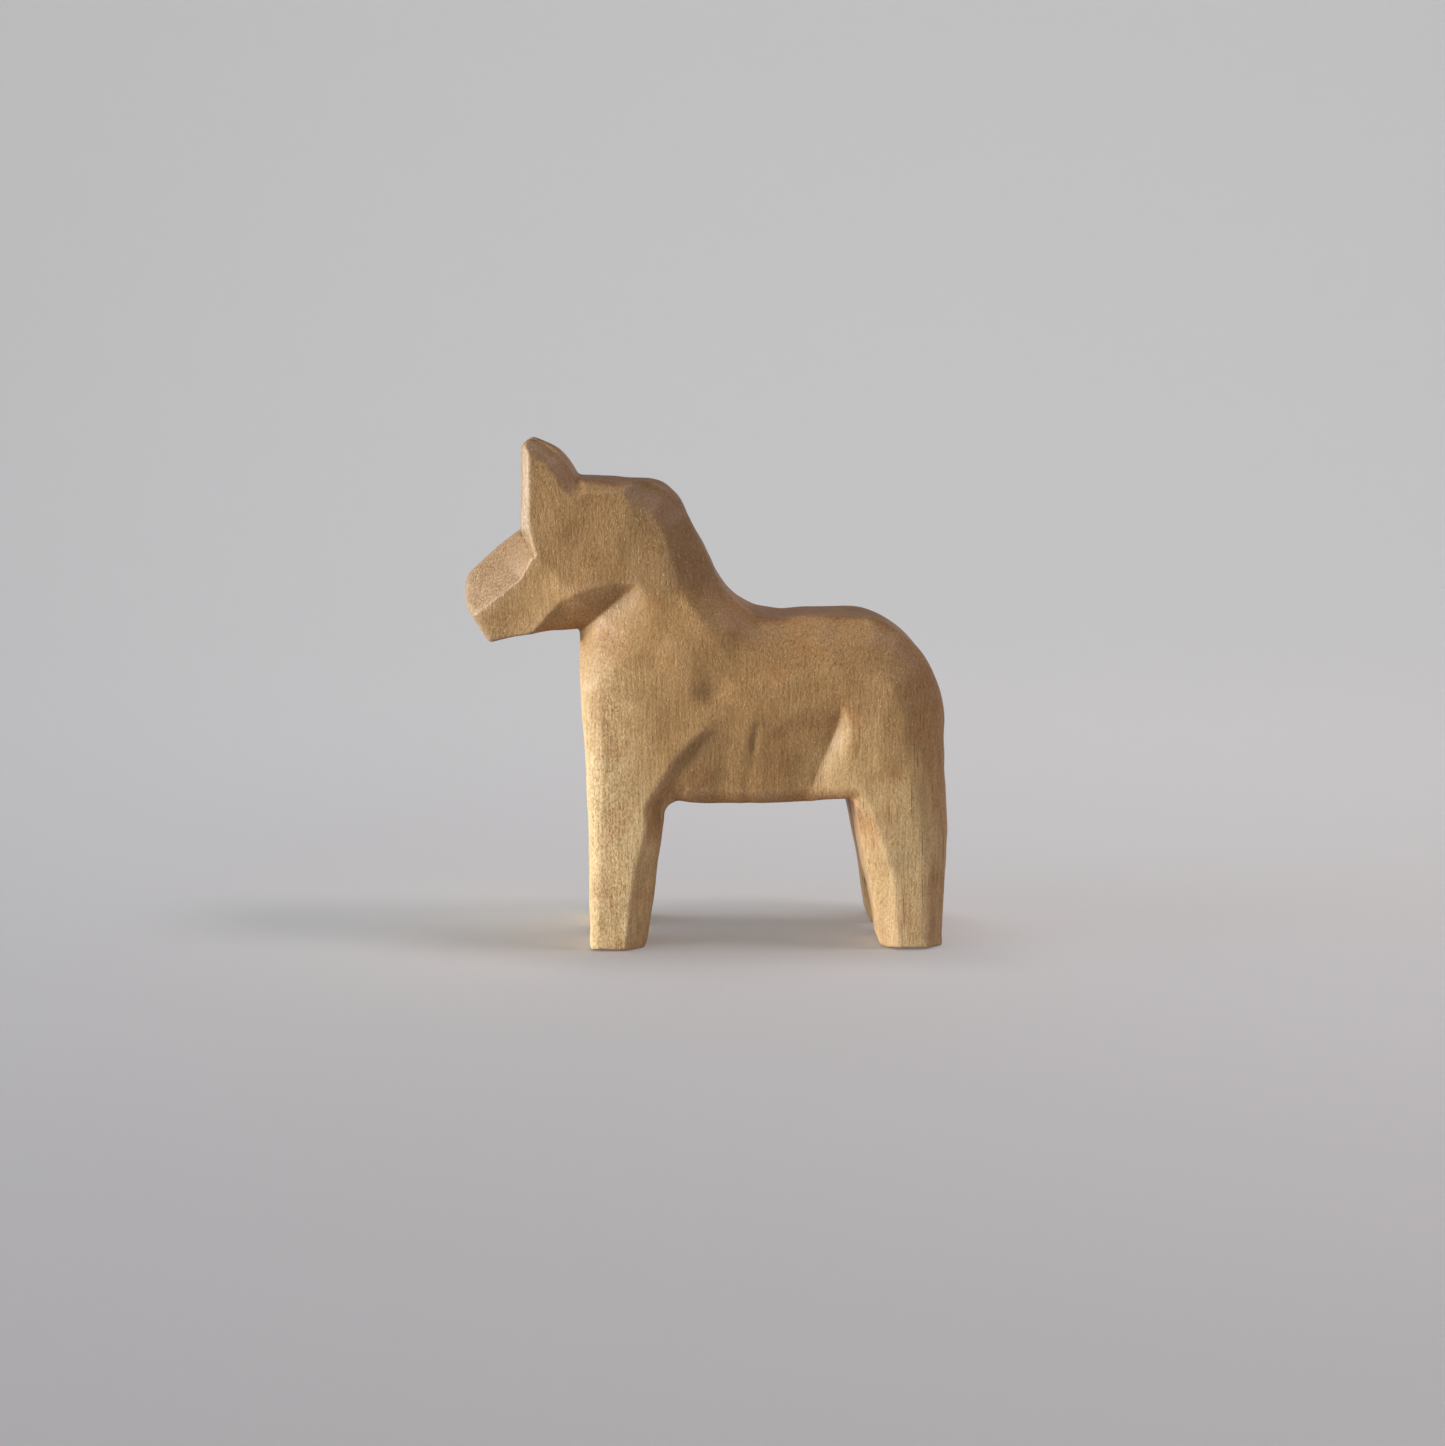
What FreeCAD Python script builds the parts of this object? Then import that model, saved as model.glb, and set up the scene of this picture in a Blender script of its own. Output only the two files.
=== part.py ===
"""A dala horse: a small standing horse whittled from one block of wood.

The block is sawn to the side outline, thinned towards the ears and the nose, slotted between the left
and right legs and notched between the ears. Then its edges are bevelled with flat knife cuts, and its
cheeks, belly and flanks are hollowed with scooped ones.

Row frame: millimetres, +Z up, the nose points to -X and the horse's left side faces -Y. The origin is
on the ground, in the middle of the horse's length and width.
"""

import FreeCAD, Part
import math
import os

import Sketcher
from FreeCAD import Vector

NODE = "carved_horse"
LEAST_CUT_MM3 = 1.0

# Landmarks of the side outline, in order round the horse from the chin, as (x, z).
LANDMARKS = {
    "chin": (-31.9, 45.3),
    "jaw": (-22.5, 47.3),
    "throat": (-18.7, 47.3),
    "breast": (-18.7, 40.0),
    "forearm": (-17.7, 25.0),
    "fore_toe": (-17.5, 0.0),
    "fore_heel": (-9.3, 0.0),
    "elbow_low": (-6.4, 19.5),
    "elbow_high": (-4.5, 22.3),
    "groin": (21.2, 22.5),
    "hind_toe": (25.6, 0.0),
    "hind_heel": (35.0, 0.0),
    "hock": (35.5, 19.5),
    "rump": (34.8, 33.0),
    "croup": (24.0, 48.9),
    "saddle": (11.5, 48.8),
    "withers": (7.5, 49.4),
    "neck_base": (1.3, 55.8),
    "crest": (-3.0, 64.4),
    "poll": (-9.2, 68.8),
    "ear_root": (-18.9, 69.2),
    "ear_tip": (-25.7, 75.0),
    "ear_front": (-26.9, 74.1),
    "brow": (-27.1, 61.7),
    "nose": (-35.3, 54.5),
    "lip": (-35.5, 50.6),
}

# Radius of each curved stretch, named for the landmark it starts from. Negative ones curve inwards.
STRETCH_RADII = {
    "elbow_low": -2.4,
    "elbow_high": 125.0,
    "rump": 15.2,
    "croup": 70.0,
    "withers": -11.7,
    "crest": 6.8,
    "ear_root": 11.0,
    "brow": 55.0,
}

# Sizes of the chamfers along the edges of the side outline, and the stretches that each one follows.
BEVELS = {
    "back": (2.4, ["hock", "rump", "croup", "saddle", "withers", "neck_base"]),
    "crest": (1.5, ["crest"]),
    "thigh": (2.0, ["groin"]),
    "jaw": (0.8, ["chin", "jaw"]),
}

# Scooped cuts in the left side: centre (x, z), length, height, depth, radius of the scoop's bowl,
# degrees its length is tilted up towards the rump, and half width of the horse there.
SCOOPS = {
    "cheek": dict(x=-17.4, z=50.2, length=17.0, height=5.6, depth=1.5, bowl=4.0, tilt=25.0, side=10.2),
    "belly": dict(x=5.6, z=24.0, length=26.0, height=17.0, depth=1.0, bowl=6.0, tilt=0.0, side=13.2),
    "flank": dict(x=20.9, z=27.4, length=5.4, height=10.0, depth=0.7, bowl=3.0, tilt=0.0, side=13.2),
}

DIMENSIONS = {
    "block_half_width": 13.2,
    "block_margin": 5.0,
    "shoulder_height": 40.0,
    "ear_half_width": 6.4,
    "nose_half_width": 6.0,
    "cheek_half_width": 9.2,
    "cheek_length": 15.5,
    "jawline_tilt": 25.0,
    "slot_top_z": 23.3,
    "slot_foot_half_width": 3.0,
    "slot_top_half_width": 2.4,
    "notch_floor_z": 69.6,
    "notch_half_width": 3.6,
    "breast_corner_length": 1.4,
    "breast_corner_depth": 1.4,
    "rump_corner_length": 3.6,
    "rump_corner_depth": 2.9,
    "muzzle_ridge_half_width": 1.7,
    "muzzle_knife_tilt": 41.0,
    "muzzle_knife_length": 16.0,
    "muzzle_knife_width": 12.0,
}


def make_sheet(doc):
    """The spreadsheet that holds every driving dimension, in millimetres and degrees."""
    values = dict(DIMENSIONS)
    for name, (x, z) in LANDMARKS.items():
        values[name + "_x"] = x
        values[name + "_z"] = z
    for name, radius in STRETCH_RADII.items():
        values[name + "_radius"] = abs(radius)
    for name, (size, stretches) in BEVELS.items():
        values[name + "_bevel"] = size
    for name, sizes in SCOOPS.items():
        for quantity, value in sizes.items():
            values[f"{name}_scoop_{quantity}"] = value
    sheet = doc.addObject("Spreadsheet::Sheet", "Dimensions")
    for row, (alias, value) in enumerate(values.items(), start=1):
        sheet.set(f"A{row}", alias)
        sheet.set(f"B{row}", str(value))
        sheet.setAlias(f"B{row}", alias)
    doc.recompute()


def cell(alias):
    """The expression that reads one cell of the sheet."""
    return "Dimensions." + alias


def vector_of(x, y, z):
    """The expression for a vector."""
    return f"create(<<vector>>; {x}; {y}; {z})"


def placement_of(base, axis, angle):
    """The expression for a placement: a turn about an axis, then a move to a base point."""
    return f"create(<<placement>>; {base}; create(<<rotation>>; {axis}; {angle}))"


# A positive turn about this axis lifts the rump end of a fore-and-aft line.
LIFT_AXIS = vector_of(0, -1, 0)
FORE_AND_AFT_AXIS = vector_of(1, 0, 0)
ORIGIN = vector_of(0, 0, 0)


def origin_plane(body, role):
    return next(feature for feature in body.Origin.OriginFeatures if feature.Role == role)


def new_sketch(body, role, name):
    sketch = body.newObject("Sketcher::SketchObject", name)
    sketch.AttachmentSupport = [(origin_plane(body, role), "")]
    sketch.MapMode = "FlatFace"
    return sketch


def bind(sketch, constraint, name, expression):
    index = sketch.addConstraint(constraint)
    sketch.renameConstraint(index, name)
    sketch.setExpression("Constraints." + name, expression)


def next_landmark(name):
    names = list(LANDMARKS)
    return names[(names.index(name) + 1) % len(names)]


def flat_landmark(name):
    """A landmark in the plane of the side outline."""
    return Vector(*LANDMARKS[name], 0)


def stretch(name):
    """The line or arc from a landmark to the next one, and which of its ends comes first and last."""
    start, end = flat_landmark(name), flat_landmark(next_landmark(name))
    if name not in STRETCH_RADII:
        return Part.LineSegment(start, end), 1, 2
    radius = STRETCH_RADII[name]
    chord = end - start
    sagitta = abs(radius) - math.sqrt(radius**2 - (chord.Length / 2) ** 2)
    outwards = Vector(chord.y, -chord.x, 0).normalize()
    middle = (start + end) / 2 + outwards * math.copysign(sagitta, radius)
    arc = Part.Arc(start, middle, end)
    return (arc, 1, 2) if radius > 0 else (arc, 2, 1)


def draw_side_outline(sketch):
    """A closed outline whose every corner and radius is bound to the sheet."""
    starts, ends = [], []
    for name in LANDMARKS:
        shape, first, last = stretch(name)
        index = sketch.addGeometry(shape, False)
        starts.append((index, first))
        ends.append((index, last))
    for i, (name, (x, z)) in enumerate(LANDMARKS.items()):
        sketch.addConstraint(Sketcher.Constraint("Coincident", *ends[i - 1], *starts[i]))
        across = Sketcher.Constraint("DistanceX", *starts[i], x)
        bind(sketch, across, name + "_x", cell(name + "_x"))
        up = Sketcher.Constraint("DistanceY", *starts[i], z)
        bind(sketch, up, name + "_z", cell(name + "_z"))
        if name in STRETCH_RADII:
            radius = Sketcher.Constraint("Radius", starts[i][0], abs(STRETCH_RADII[name]))
            bind(sketch, radius, name + "_radius", cell(name + "_radius"))


def draw_polygon(sketch, name, corners):
    """A closed polygon. Each corner is a pair of expressions, across and up in the sketch's plane."""
    points = [Vector(sketch.evalExpression(across), sketch.evalExpression(up), 0) for across, up in corners]
    lines = []
    for i, point in enumerate(points):
        line = Part.LineSegment(point, points[(i + 1) % len(points)])
        lines.append(sketch.addGeometry(line, False))
    for i, (across, up) in enumerate(corners):
        sketch.addConstraint(Sketcher.Constraint("Coincident", lines[i - 1], 2, lines[i], 1))
        across_constraint = Sketcher.Constraint("DistanceX", lines[i], 1, points[i].x)
        bind(sketch, across_constraint, f"{name}_{i}_across", across)
        up_constraint = Sketcher.Constraint("DistanceY", lines[i], 1, points[i].y)
        bind(sketch, up_constraint, f"{name}_{i}_up", up)


def check_cut(body, feature, base):
    """Stop unless the feature took material away from its base and left one valid solid."""
    before = base.Shape.Volume
    body.Document.recompute()
    shape = feature.Shape
    if shape.isNull() or not shape.isValid() or len(shape.Solids) != 1:
        raise RuntimeError(feature.Label + " left no valid single solid")
    if before - shape.Volume < LEAST_CUT_MM3:
        raise RuntimeError(feature.Label + " cuts nothing")


def pocket(body, sketch, name):
    """Cuts a sketch right through the block, both ways from its plane."""
    feature = body.newObject("PartDesign::Pocket", name)
    feature.Profile = sketch
    feature.Type = "ThroughAll"
    feature.SideType = "Symmetric"
    check_cut(body, feature, feature.BaseFeature)


def both_sides(body, feature, name):
    """Repeats a cut in the left side on the right side."""
    check_cut(body, feature, feature.BaseFeature)
    mirrored = body.newObject("PartDesign::Mirrored", name + "Right")
    mirrored.Originals = [feature]
    mirrored.MirrorPlane = (origin_plane(body, "XZ_Plane"), [""])
    body.Tip = mirrored
    check_cut(body, mirrored, feature)


def saw_side_outline(body):
    """The sawn blank: the side outline, as thick as the block."""
    sketch = new_sketch(body, "XZ_Plane", "SideOutline")
    draw_side_outline(sketch)
    pad = body.newObject("PartDesign::Pad", "Blank")
    pad.Profile = sketch
    pad.SideType = "Symmetric"
    pad.setExpression("Length", cell("block_half_width") + " * 2")
    body.Document.recompute()


def thin_towards_ears(body):
    """Slopes both sides inwards from the shoulders up to the ears."""
    sketch = new_sketch(body, "YZ_Plane", "EarTaperOutline")
    outside = f"({cell('block_half_width')} + {cell('block_margin')})"
    for name, sign in (("left", "-1"), ("right", "1")):
        draw_polygon(sketch, name, [
            (f"{sign} * {cell('block_half_width')}", cell("shoulder_height")),
            (f"{sign} * {cell('ear_half_width')}", cell("ear_tip_z")),
            (f"{sign} * {outside}", cell("ear_tip_z")),
            (f"{sign} * {outside}", cell("shoulder_height")),
        ])
    pocket(body, sketch, "EarTaper")


def thin_towards_nose(body):
    """Narrows the head to the nose, above the line of the jaw only."""
    sketch = new_sketch(body, "XY_Plane", "NoseTaperOutline")
    jaw = vector_of(cell("jaw_x"), 0, cell("jaw_z"))
    sketch.setExpression("AttachmentOffset", placement_of(jaw, LIFT_AXIS, cell("jawline_tilt")))
    nose = f"({cell('lip_x')} - {cell('jaw_x')})"
    widening = f"({cell('cheek_half_width')} - {cell('nose_half_width')}) / {cell('cheek_length')}"
    reach = f"2 * {cell('cheek_length')}"
    outside = f"({cell('block_half_width')} + {cell('block_margin')})"
    for name, sign in (("left", "-1"), ("right", "1")):
        draw_polygon(sketch, name, [
            (nose, f"{sign} * {cell('nose_half_width')}"),
            (f"{nose} + {reach}", f"{sign} * ({cell('nose_half_width')} + {reach} * {widening})"),
            (f"{nose} + {reach}", f"{sign} * {outside}"),
            (nose, f"{sign} * {outside}"),
        ])
    feature = body.newObject("PartDesign::Pocket", "NoseTaper")
    feature.Profile = sketch
    feature.Type = "ThroughAll"
    feature.Reversed = True
    check_cut(body, feature, feature.BaseFeature)


def bevel_block_corners(body):
    """Bevels the upright corners of the breast and the rump."""
    sketch = new_sketch(body, "XY_Plane", "CornerOutline")
    outside = f"({cell('block_half_width')} + {cell('block_margin')})"
    corners = {"breast": (cell("breast_x"), "1"), "rump": (cell("hock_x"), "-1")}
    for name, (end, inwards) in corners.items():
        beyond = f"{end} - {inwards} * {cell('block_margin')}"
        start = f"{end} + {inwards} * {cell(name + '_corner_length')}"
        narrowed = f"({cell('block_half_width')} - {cell(name + '_corner_depth')})"
        for side, sign in (("left", "-1"), ("right", "1")):
            draw_polygon(sketch, f"{name}_{side}", [
                (start, f"{sign} * {cell('block_half_width')}"),
                (end, f"{sign} * {narrowed}"),
                (beyond, f"{sign} * {narrowed}"),
                (beyond, f"{sign} * {outside}"),
                (start, f"{sign} * {outside}"),
            ])
    pocket(body, sketch, "CornerBevels")


def part_legs(body):
    """The slot between the left and right legs, a little wider at the feet."""
    sketch = new_sketch(body, "YZ_Plane", "LegSlotOutline")
    draw_polygon(sketch, "slot", [
        (f"-{cell('slot_foot_half_width')}", "0"),
        (cell("slot_foot_half_width"), "0"),
        (cell("slot_top_half_width"), cell("slot_top_z")),
        (f"-{cell('slot_top_half_width')}", cell("slot_top_z")),
    ])
    pocket(body, sketch, "LegSlot")


def part_ears(body):
    """The V-shaped notch between the ears."""
    sketch = new_sketch(body, "YZ_Plane", "EarNotchOutline")
    draw_polygon(sketch, "notch", [
        ("0", cell("notch_floor_z")),
        (cell("notch_half_width"), cell("ear_tip_z")),
        (f"-{cell('notch_half_width')}", cell("ear_tip_z")),
    ])
    pocket(body, sketch, "EarNotch")


def edges_along(shape, stretches, near=0.5, slot_reach=4.5):
    """The names of the shape's outer edges that follow these stretches of the side outline."""
    curves = [stretch(name)[0].toShape() for name in stretches]

    def follows(point):
        return any(curve.distToShape(Part.Vertex(point.x, point.z, 0))[0] < near for curve in curves)

    found = []
    for i, edge in enumerate(shape.Edges, start=1):
        middle = edge.valueAt((edge.FirstParameter + edge.LastParameter) / 2)
        points = [vertex.Point for vertex in edge.Vertexes] + [middle]
        outer = min(abs(point.y) for point in points) > slot_reach
        one_side = abs(sum(math.copysign(1, point.y) for point in points)) == len(points)
        if outer and one_side and all(follows(point) for point in points):
            found.append(f"Edge{i}")
    return found


def bevel_edges(body, name):
    """A chamfer along both edges of some stretches of the side outline."""
    base = body.Tip
    chamfer = body.newObject("PartDesign::Chamfer", name.capitalize() + "Bevel")
    chamfer.Base = (base, edges_along(base.Shape, BEVELS[name][1]))
    chamfer.setExpression("Size", cell(name + "_bevel"))
    check_cut(body, chamfer, base)


def slice_muzzle(body):
    """A flat cut down each side of the nose, from a ridge along its top, that stops at the brow."""
    knife = body.newObject("PartDesign::SubtractiveBox", "MuzzleSlice")
    length = cell("muzzle_knife_length")
    width = cell("muzzle_knife_width")
    knife.setExpression("Length", length)
    knife.setExpression("Width", width)
    knife.setExpression("Height", cell("block_margin"))
    brow = vector_of(cell("brow_x"), "-" + cell("muzzle_ridge_half_width"), cell("brow_z"))
    slope = f"atan2({cell('brow_z')} - {cell('nose_z')}; {cell('brow_x')} - {cell('nose_x')})"
    along_ridge = placement_of(brow, LIFT_AXIS, slope)
    tilted = placement_of(ORIGIN, FORE_AND_AFT_AXIS, cell("muzzle_knife_tilt"))
    centred = placement_of(vector_of("-" + length, f"-{width} / 2", 0), FORE_AND_AFT_AXIS, 0)
    knife.setExpression("Placement", f"{along_ridge} * {tilted} * {centred}")
    both_sides(body, knife, "MuzzleSlice")


def scoop(body, name):
    """A hollow in each side, cut by an ellipsoid bowl that dips below the surface."""
    def size(quantity):
        return cell(f"{name}_scoop_{quantity}")

    proud = f"({size('bowl')} - {size('depth')})"
    mouth = f"(2 * sqrt(1 - ({proud} / {size('bowl')})^2))"
    bowl = body.newObject("PartDesign::SubtractiveEllipsoid", name.capitalize() + "Scoop")
    bowl.setExpression("Radius1", f"{size('height')} / {mouth}")
    bowl.setExpression("Radius2", f"{size('length')} / {mouth}")
    bowl.setExpression("Radius3", size("bowl"))
    centre = vector_of(size("x"), f"-({size('side')} + {proud})", size("z"))
    bowl.setExpression("Placement", placement_of(centre, LIFT_AXIS, size("tilt")))
    both_sides(body, bowl, name.capitalize() + "Scoop")


def check_document(doc):
    """Stop if any object of the document failed to build."""
    for item in doc.Objects:
        if "Invalid" in item.State or "Error" in item.State:
            raise RuntimeError(f"{item.Label} is {item.State}")


def carve_horse(doc):
    """The whole horse, in the order it is whittled."""
    body = doc.addObject("PartDesign::Body", "CarvedHorse")
    body.Label = NODE
    saw_side_outline(body)
    thin_towards_ears(body)
    for name in BEVELS:
        bevel_edges(body, name)
    thin_towards_nose(body)
    bevel_block_corners(body)
    part_legs(body)
    part_ears(body)
    slice_muzzle(body)
    for name in SCOOPS:
        scoop(body, name)
    body.Placement = FreeCAD.Placement()
    return body


def main():
    doc = FreeCAD.newDocument("dala_horse")
    make_sheet(doc)
    body = carve_horse(doc)
    doc.recompute()
    check_document(doc)
    if body.Shape.isNull() or not body.Shape.isValid():
        raise RuntimeError(body.Label + " has no valid shape")
    os.makedirs("parts", exist_ok=True)
    body.Shape.exportStep(f"parts/{body.Label}.step")
    box = body.Shape.optimalBoundingBox()
    print(f"{body.Label}: {box.XLength:.2f} x {box.YLength:.2f} x {box.ZLength:.2f} mm")


main()
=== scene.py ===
"""The looks of a small horse whittled from one block of wood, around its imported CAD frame.

The CAD block is remeshed finely and its two sides are carved further in mesh code: the edges are pared and
rounded, the muzzle, jaw, armpits, belly and flanks are cut, and every surface gets the slight waves that a
knife and sandpaper leave. Carving sizes are in millimetres of a horse that is 75 mm tall, measured from the
middle of its footprint: x runs from nose to rump, y across, z up. They scale with the frame.
"""

import math

import bpy
import numpy as np
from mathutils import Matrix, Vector

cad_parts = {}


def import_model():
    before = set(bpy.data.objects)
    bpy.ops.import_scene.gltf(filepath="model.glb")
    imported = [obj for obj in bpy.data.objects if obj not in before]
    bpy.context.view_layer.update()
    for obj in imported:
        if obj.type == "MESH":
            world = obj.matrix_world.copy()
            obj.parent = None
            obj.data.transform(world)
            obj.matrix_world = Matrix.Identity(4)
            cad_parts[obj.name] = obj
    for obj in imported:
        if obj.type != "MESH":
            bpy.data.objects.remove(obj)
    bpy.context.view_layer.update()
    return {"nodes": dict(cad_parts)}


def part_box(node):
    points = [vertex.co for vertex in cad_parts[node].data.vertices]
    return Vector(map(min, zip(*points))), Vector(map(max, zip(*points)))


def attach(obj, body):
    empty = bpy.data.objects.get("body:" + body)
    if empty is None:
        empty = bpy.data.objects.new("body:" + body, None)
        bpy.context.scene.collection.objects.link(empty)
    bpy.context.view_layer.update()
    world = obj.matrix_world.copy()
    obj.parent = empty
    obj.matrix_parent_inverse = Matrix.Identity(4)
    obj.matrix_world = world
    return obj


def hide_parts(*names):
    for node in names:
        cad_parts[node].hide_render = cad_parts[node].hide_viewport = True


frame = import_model()

NODE = "carved_horse"
LOW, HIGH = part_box(NODE)
CARVING_HEIGHT = 75.0
MM = (HIGH.z - LOW.z) / CARVING_HEIGHT
ORIGIN = Vector(((LOW.x + HIGH.x) / 2, (LOW.y + HIGH.y) / 2, LOW.z))

# ---------------------------------------------------------------- plane geometry, all as (x, z)


def smoothstep(value, start, end):
    t = np.clip((value - start) / (end - start), 0, 1)
    return t * t * (3 - 2 * t)


def nearest_on(x, z, line):
    """How far each (x, z) is from a line of straight stretches, and how far along it, from 0 to 1."""
    nearest = np.full(x.shape, np.inf)
    along = np.zeros(x.shape)
    passed = 0.0
    for (ax, az), (bx, bz) in zip(line, line[1:]):
        dx, dz = bx - ax, bz - az
        length = math.hypot(dx, dz)
        t = np.clip(((x - ax) * dx + (z - az) * dz) / length**2, 0, 1)
        distance = np.hypot(x - ax - t * dx, z - az - t * dz)
        along = np.where(distance < nearest, passed + t * length, along)
        nearest = np.minimum(nearest, distance)
        passed += length
    return nearest, along / passed


def distance_to(x, z, line):
    return nearest_on(x, z, line)[0]


def depth_inside(x, z, outline):
    """How far each (x, z) is inside a closed outline; negative outside it."""
    closed = list(dict.fromkeys(outline)) + [outline[0]]
    inside = np.zeros(x.shape, bool)
    for (ax, az), (bx, bz) in zip(closed, closed[1:]):
        if az != bz:
            crosses = (az > z) != (bz > z)
            inside ^= crosses & (x < ax + (z - az) * (bx - ax) / (bz - az))
    return np.where(inside, 1, -1) * distance_to(x, z, closed)


# ---------------------------------------------------------------- the horse's side outline

HEAD_TOP = [(-9.2, 68.8), (-18.9, 69.2)]
EAR_BACK = [(-18.9, 69.2), (-21.3, 72.5), (-25.7, 75.0)]
EAR_FRONT = [(-26.9, 74.1), (-27.1, 61.7)]
MUZZLE_TOP = [(-27.1, 61.7), (-35.3, 54.5)]
CHIN = [(-31.9, 45.3), (-35.5, 50.6)]
UNDER_JAW = [(-31.9, 45.3), (-22.5, 47.3), (-18.7, 47.3)]
CHEST = [(-18.7, 46.0), (-18.7, 40.0), (-17.7, 25.0)]
FORE_LEG_FRONT = [(-17.7, 25.0), (-17.5, 0.0)]
FORE_LEG_REAR = [(-9.3, 0.0), (-6.4, 19.5), (-5.8, 21.3), (-4.5, 22.3)]
BELLY = [(-4.5, 22.3), (8.0, 21.8), (21.2, 22.5)]
HIND_LEG_FRONT = [(21.2, 22.5), (25.6, 0.0)]
HIND_LEG_REAR = [(34.8, 33.0), (35.5, 19.5), (35.0, 0.0)]
RUMP = [(24.0, 48.9), (28.5, 46.9), (32.1, 43.2), (34.2, 38.4), (34.8, 33.0)]
BACK = [(7.5, 49.4), (11.5, 48.8), (18.0, 49.2), (24.0, 48.9)]
NECK_BACK = [(-9.2, 68.8), (-5.8, 67.2), (-3.0, 64.4), (1.3, 55.8), (3.6, 52.3), (7.5, 49.4)]
SOLES = [(-20.0, 0.0), (40.0, 0.0)]

OUTLINE = list(dict.fromkeys(
    CHIN + MUZZLE_TOP[::-1] + EAR_FRONT[::-1] + EAR_BACK[::-1] + HEAD_TOP[::-1] + NECK_BACK + BACK + RUMP
    + HIND_LEG_REAR + HIND_LEG_FRONT[::-1] + BELLY[::-1] + FORE_LEG_REAR[::-1] + FORE_LEG_FRONT[::-1]
    + CHEST[::-1] + UNDER_JAW[::-1]
))

# Worked edges: the edge, how far in from the outline the work starts at the edge's first and last point, how
# much it takes off the half width at the outline there, and how flat it is, from 0 (rounded) to 1 (bevelled).
WORKED_EDGES = [
    (NECK_BACK, (3.6, 6.0), (4.0, 5.4), 0.50),
    (BACK, (8.0, 8.0), (5.4, 6.0), 0.25),
    (RUMP + HIND_LEG_REAR[1:], (8.0, 3.2), (6.4, 2.6), 0.20),
    (HEAD_TOP, (2.0, 1.8), (2.6, 2.2), 0.30),
    (EAR_BACK, (2.4, 1.9), (2.6, 1.6), 0.50),
    (CHEST + FORE_LEG_FRONT[1:], (3.0, 1.3), (2.0, 0.9), 0.30),
    (BELLY, (2.2, 2.2), (1.8, 1.8), 0.20),
    (UNDER_JAW, (0.8, 0.8), (0.5, 0.5), 0.30),
    (CHIN, (0.7, 0.7), (0.5, 0.5), 0.30),
    (SOLES, (0.7, 0.7), (0.5, 0.5), 0.10),
]

# ---------------------------------------------------------------- the horse's sides

BLOCK_HALF_WIDTH = 13.2
EAR_HALF_WIDTH = 6.4
SHOULDER_Z, EAR_Z = 40.0, 75.0
SLOPE_BEND = 9.0

# The sides also draw in past these places, by this much for each millimetre.
CHEST_X, CHEST_TAPER = -3.0, 0.07
LOIN_X, LOIN_TAPER, LOIN_LENGTH = 1.0, 0.03, 18
LEG_TOP_Z, LEG_TAPER = 22.0, 0.008

JAW = (-22.5, 47.3)
JAW_TILT = math.radians(25.0)
NOSE_ALONG_JAW = -13.0
NOSE_HALF_WIDTH = 6.0
HEAD_WIDENING = 0.232

TINY = 1e-6


def body_side(x, z):
    """Half width of the block: upright sides that slope in to the ears, slightly bulging in plan."""
    slope = (BLOCK_HALF_WIDTH - EAR_HALF_WIDTH) / (EAR_Z - SHOULDER_Z)
    bend = np.clip(z - SHOULDER_Z + SLOPE_BEND, 0, 2 * SLOPE_BEND)
    upper = slope * (bend**2 / (4 * SLOPE_BEND) + np.maximum(z - SHOULDER_Z - SLOPE_BEND, 0))
    chest = CHEST_TAPER * np.maximum(CHEST_X - x, 0) * smoothstep(z, 60.0, 45.0)
    loin = LOIN_TAPER * np.clip(x - LOIN_X, 0, LOIN_LENGTH) * smoothstep(x, 27.0, 19.0)
    leg = LEG_TAPER * np.maximum(LEG_TOP_Z - z, 0)
    return BLOCK_HALF_WIDTH - upper - chest - loin - leg


def head_side(x, z):
    """Half width of the head, which widens from the nose back along the jaw."""
    along = (x - JAW[0]) * math.cos(JAW_TILT) + (z - JAW[1]) * math.sin(JAW_TILT)
    return NOSE_HALF_WIDTH + (along - NOSE_ALONG_JAW) * HEAD_WIDENING


def flat_cut(x, z, start, end, depths):
    """A pared facet that runs from one line, where it takes nothing off, down to another.

    depths are what it takes off at even steps along the end line.
    """
    inside = depth_inside(x, z, start + end[::-1])
    from_start = distance_to(x, z, start)
    from_end, along = nearest_on(x, z, end)
    depth = np.interp(along, np.linspace(0, 1, len(depths)), depths)
    return np.where(inside > 0, depth * from_start / (from_start + from_end + TINY), 0)


# Pared facets: the line where each starts, the line that it runs down to, and how deep it is at even steps
# along that second line.
FLAT_CUTS = [
    # back of the fore leg
    (
        [(-5.2, 28.0), (-8.0, 21.5), (-10.2, 15.0), (-11.6, 8.0), (-12.4, -0.5)],
        [(-3.2, 25.0), (-4.0, 21.3), (-5.4, 19.5), (-8.3, -0.5)],
        (0.0, 2.2, 2.9, 3.2, 3.3),
    ),
    # front of the hind leg
    (
        [(21.0, 27.5), (23.4, 22.6), (27.3, 11.4), (28.2, -0.5)],
        [(19.2, 23.5), (20.4, 21.5), (24.6, -0.5)],
        (0.0, 2.3, 2.8, 3.0, 3.1),
    ),
    # back of the hind leg
    (
        [(32.4, 32.0), (32.2, 24.0), (32.3, -0.5)],
        [(36.0, 32.0), (36.6, 19.5), (36.0, -0.5)],
        (2.4, 3.6),
    ),
    # front of the ear and forehead
    (
        [(-25.8, 75.0), (-25.7, 62.4), (-25.0, 58.4)],
        [(-27.6, 76.0), (-27.8, 61.9), (-25.2, 58.3)],
        (1.9, 1.2),
    ),
]

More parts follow.
